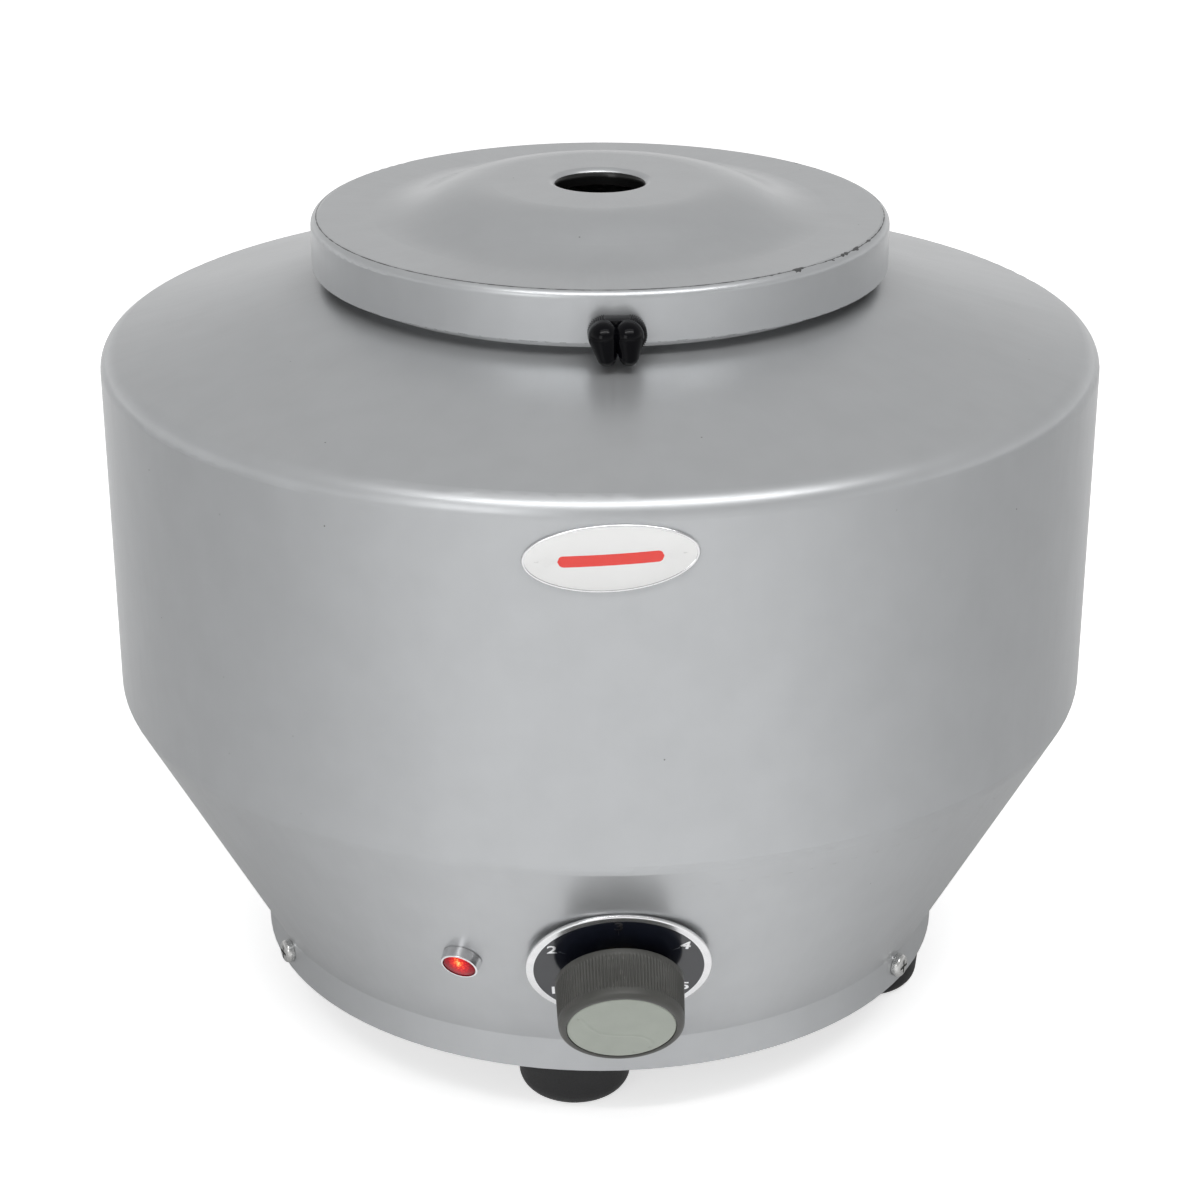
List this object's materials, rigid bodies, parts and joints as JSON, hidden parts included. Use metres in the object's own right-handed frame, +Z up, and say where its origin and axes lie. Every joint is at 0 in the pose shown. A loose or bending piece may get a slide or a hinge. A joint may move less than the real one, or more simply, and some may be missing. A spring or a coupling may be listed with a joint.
{
  "type": "clinical centrifuge",
  "caption": "Round bench centrifuge with a hinged latched lid, a speed knob on a numbered dial, a pilot lamp and a motor-driven swing-out head inside.",
  "frame": {"origin": "on the surface it stands on, under the middle of its outline", "axes": "+Z up along the rotor's axis, -Y towards the speed knob, +X to the right"},
  "size_m": [0.33, 0.3345, 0.2854],
  "materials": {
    "casing_paint": "satin metallic paint",
    "lid_paint": "satin metallic paint",
    "chamber_paint": "satin paint",
    "pan_steel": "matt black paint",
    "plated_steel": "bright zinc plate",
    "shaft_steel": "ground",
    "seal_rubber": "matt",
    "foot_rubber": "matt",
    "cushion_rubber": "matt",
    "latch_plastic": "gloss black",
    "badge_enamel": "domed gloss white",
    "dial_print": "printed near-black face",
    "knob_plastic": "dark grey",
    "cap_plastic": "pale grey",
    "bezel_chrome": "polished",
    "lens_red": "clear red",
    "lamp_plastic": "white",
    "ceramic_body": "unglazed",
    "resistance_wire": "close wound",
    "brass_parts": "turned",
    "copper_winding": "enamelled copper wire",
    "motor_casting": "as cast",
    "laminations": "stacked sheet",
    "brush_carbon": "pressed carbon",
    "fan_plastic": "black",
    "head_aluminium": "machined",
    "shield_aluminium": "drawn",
    "block_plastic": "natural nylon",
    "lead_sleeve": "insulated wire"
  },
  "bodies": {
    "casing": {"upper_casing": "casing_paint", "lower_casing": "casing_paint", "neck_ring": "casing_paint", "neck_gasket": "seal_rubber", "chamber_floor": "chamber_paint", "lid_bracket": "plated_steel", "hinge_pin": "shaft_steel", "badge_plate": "badge_enamel", "dial_plate": "dial_print", "regulator_core": "ceramic_body", "regulator_winding": "resistance_wire", "regulator_bush": "brass_parts", "lamp_bezel": "bezel_chrome", "lamp_lens": "lens_red", "lamp_body": "lamp_plastic", "mains_grommet": "seal_rubber", "base_pan": "pan_steel", "band_screws": "plated_steel", "rubber_feet": "foot_rubber", "foot_screws": "plated_steel", "isolators": "seal_rubber", "isolator_bolts": "plated_steel", "motor_lower_bracket": "motor_casting", "motor_upper_bracket": "motor_casting", "stator_core": "laminations", "field_coils": "copper_winding", "motor_bolts": "plated_steel", "ball_bearings": "shaft_steel", "carbon_brushes": "brush_carbon", "brush_holders": "brass_parts", "brush_springs": "plated_steel", "terminal_block": "block_plastic", "wiring": "lead_sleeve"},
    "lid": {"lid": "lid_paint", "lid_hinge_leaf": "plated_steel"},
    "latch": {"latch_knob": "latch_plastic", "latch_pawl": "plated_steel"},
    "speed_knob": {"knob_body": "knob_plastic", "knob_cap": "cap_plastic", "regulator_shaft": "shaft_steel"},
    "rotor": {"motor_shaft": "shaft_steel", "armature_core": "laminations", "armature_winding": "copper_winding", "commutator": "copper_winding", "bearing_inner_rings": "shaft_steel", "cooling_fan": "fan_plastic", "rotor_head": "head_aluminium", "rotor_nut": "plated_steel"},
    "bucket_1": {"trunnion_ring_1": "plated_steel", "tube_shield_1": "shield_aluminium", "tube_cushion_1": "cushion_rubber"},
    "bucket_2": {"trunnion_ring_2": "plated_steel", "tube_shield_2": "shield_aluminium", "tube_cushion_2": "cushion_rubber"},
    "bucket_3": {"trunnion_ring_3": "plated_steel", "tube_shield_3": "shield_aluminium", "tube_cushion_3": "cushion_rubber"},
    "bucket_4": {"trunnion_ring_4": "plated_steel", "tube_shield_4": "shield_aluminium", "tube_cushion_4": "cushion_rubber"}
  },
  "joints": [
    {"name": "lid_hinge", "type": "hinge", "parent": "casing", "child": "lid", "pos_m": [0, 0.104, 0.26253], "axis": [-1, 0, 0], "range_deg": [0, 105]},
    {"name": "latch_turn", "type": "hinge", "parent": "lid", "child": "latch", "pos_m": [0.0009, -0.0948, 0.26353], "axis": [0, -1, 0], "range_deg": [0, 90]},
    {"name": "speed_turn", "type": "hinge", "parent": "casing", "child": "speed_knob", "pos_m": [0, -0.1408, 0.073], "axis": [0, 0.8816, 0.4721], "range_deg": [0, 300]},
    {"name": "rotor_spin", "type": "hinge", "parent": "casing", "child": "rotor", "pos_m": [0, 0, 0.2], "axis": [0, 0, 1], "continuous": true},
    {"name": "bucket_swing_1", "type": "hinge", "parent": "rotor", "child": "bucket_1", "pos_m": [0, -0.061, 0.2], "axis": [-1, 0, 0], "range_deg": [-2, 90]},
    {"name": "bucket_swing_2", "type": "hinge", "parent": "rotor", "child": "bucket_2", "pos_m": [0.061, 0, 0.2], "axis": [0, -1, 0], "range_deg": [-2, 90]},
    {"name": "bucket_swing_3", "type": "hinge", "parent": "rotor", "child": "bucket_3", "pos_m": [0, 0.061, 0.2], "axis": [1, 0, 0], "range_deg": [-2, 90]},
    {"name": "bucket_swing_4", "type": "hinge", "parent": "rotor", "child": "bucket_4", "pos_m": [-0.061, 0, 0.2], "axis": [0, 1, 0], "range_deg": [-2, 90]}
  ]
}
